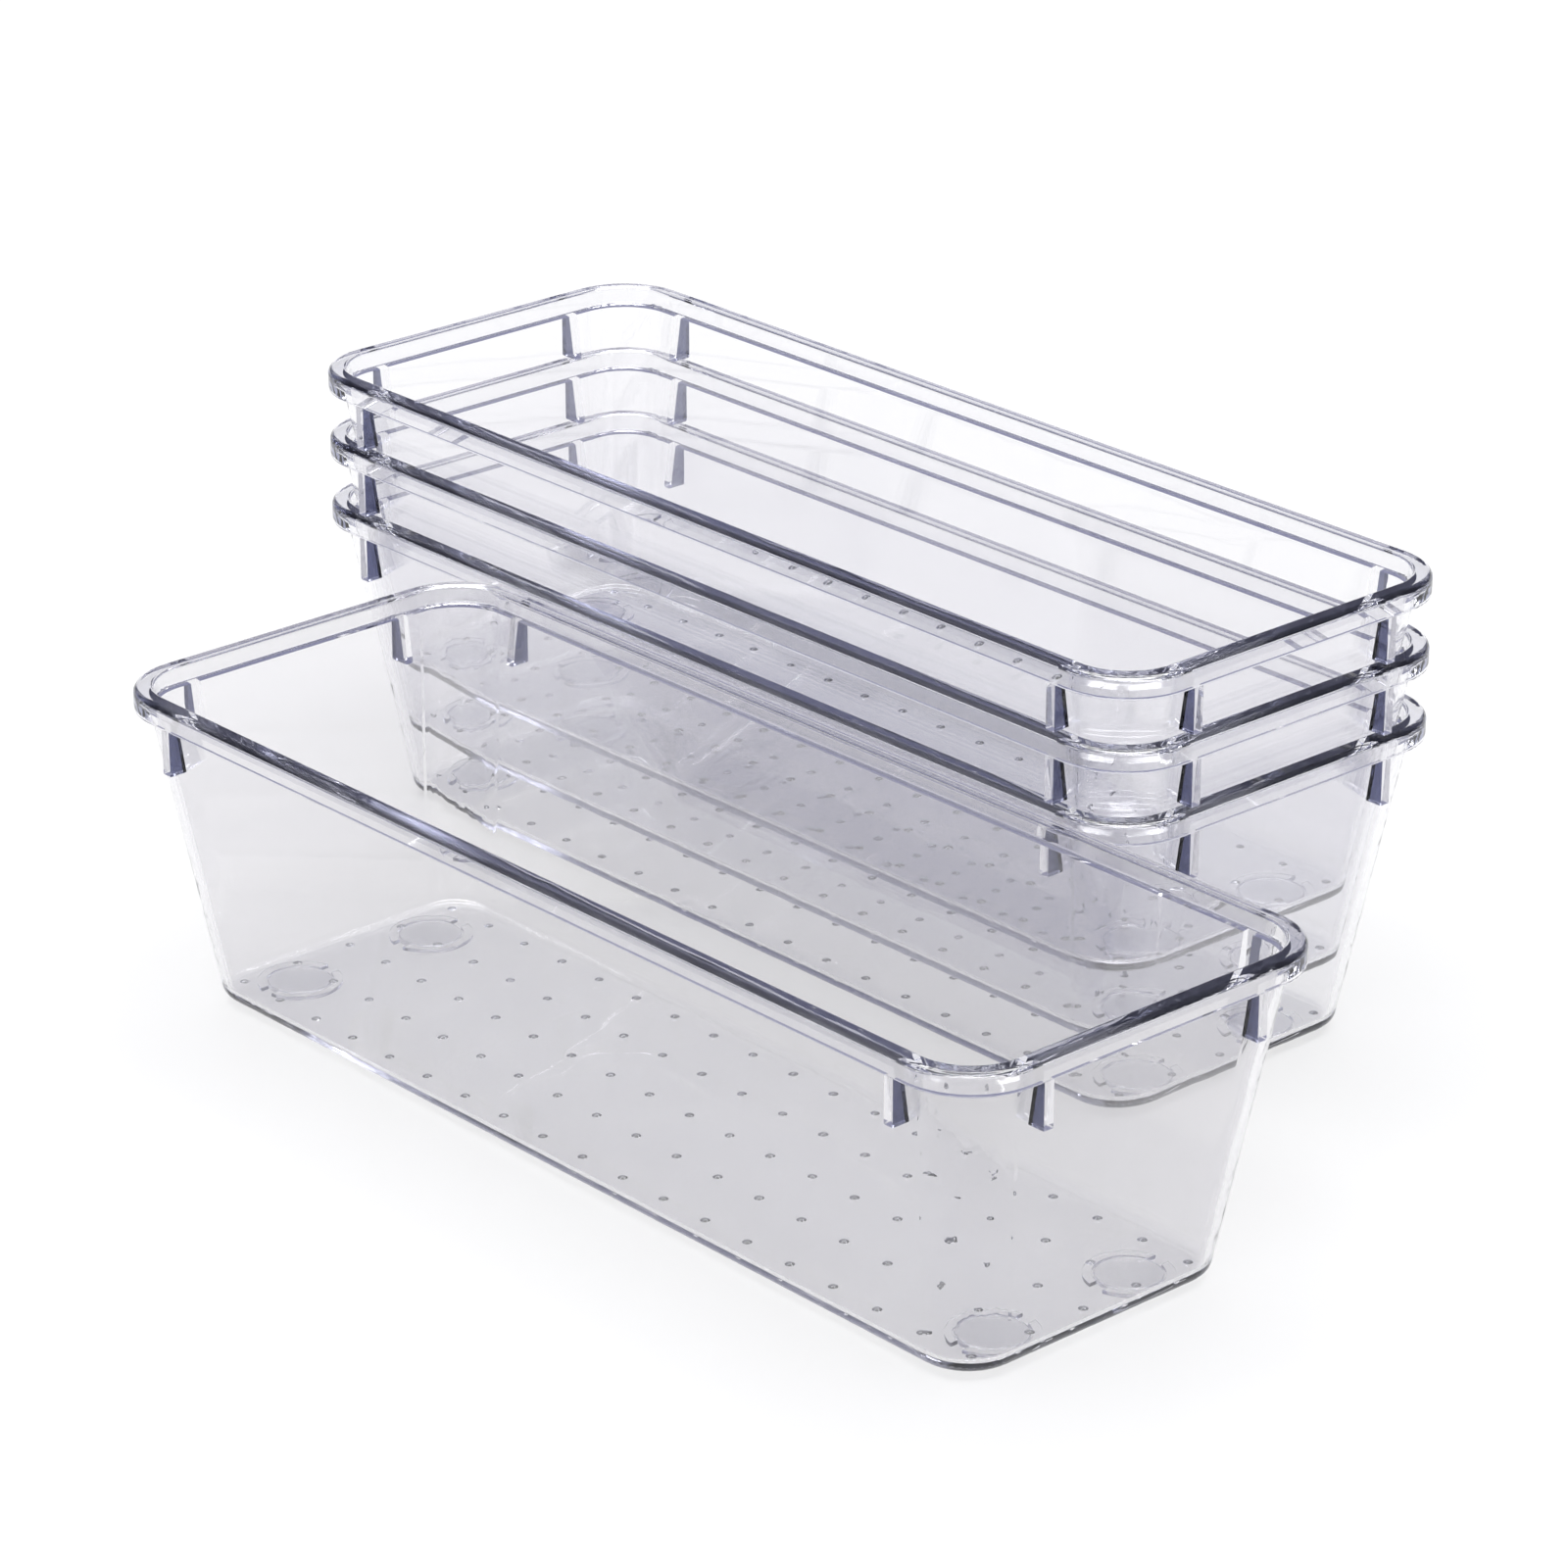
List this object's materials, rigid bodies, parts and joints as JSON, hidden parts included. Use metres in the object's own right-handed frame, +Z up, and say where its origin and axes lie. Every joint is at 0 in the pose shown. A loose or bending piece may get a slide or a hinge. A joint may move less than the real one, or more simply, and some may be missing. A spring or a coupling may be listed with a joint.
{
  "type": "drawer organizer bin set",
  "caption": "Set of clear plastic drawer organizer bins with thick rims, stacking ribs and round anti-slip feet; some nested in a stack, one free in front.",
  "frame": {"origin": "middle of the whole set's footprint, on the surface it stands on", "axes": "+X along the long sides of the bins, +Y from the front bin towards the stack, +Z up"},
  "size_m": [0.284, 0.174, 0.0904],
  "materials": {
    "clear_plastic": "clear polished polystyrene",
    "soft_pad": "clear soft silicone, slightly milky"
  },
  "bodies": {
    "front_bin": {"front_shell": "clear_plastic", "front_pad_front_left": "soft_pad", "front_pad_front_right": "soft_pad", "front_pad_back_left": "soft_pad", "front_pad_back_right": "soft_pad"},
    "stack_bottom": {"stack_bottom_shell": "clear_plastic", "stack_bottom_pad_front_left": "soft_pad", "stack_bottom_pad_front_right": "soft_pad", "stack_bottom_pad_back_left": "soft_pad", "stack_bottom_pad_back_right": "soft_pad"},
    "stack_middle": {"stack_middle_shell": "clear_plastic", "stack_middle_pad_front_left": "soft_pad", "stack_middle_pad_front_right": "soft_pad", "stack_middle_pad_back_left": "soft_pad", "stack_middle_pad_back_right": "soft_pad"},
    "stack_top": {"stack_top_shell": "clear_plastic", "stack_top_pad_front_left": "soft_pad", "stack_top_pad_front_right": "soft_pad", "stack_top_pad_back_left": "soft_pad", "stack_top_pad_back_right": "soft_pad"}
  },
  "joints": [
    {"name": "middle_bin_lift", "type": "slide", "parent": "stack_bottom", "child": "stack_middle", "axis": [0, 0, 1], "range_m": [0, 0.05]},
    {"name": "top_bin_lift", "type": "slide", "parent": "stack_middle", "child": "stack_top", "axis": [0, 0, 1], "range_m": [0, 0.05]},
    {"name": "front_bin_slide", "type": "slide", "parent": "stack_bottom", "child": "front_bin", "axis": [0, -1, 0], "range_m": [0, 0.06]}
  ]
}
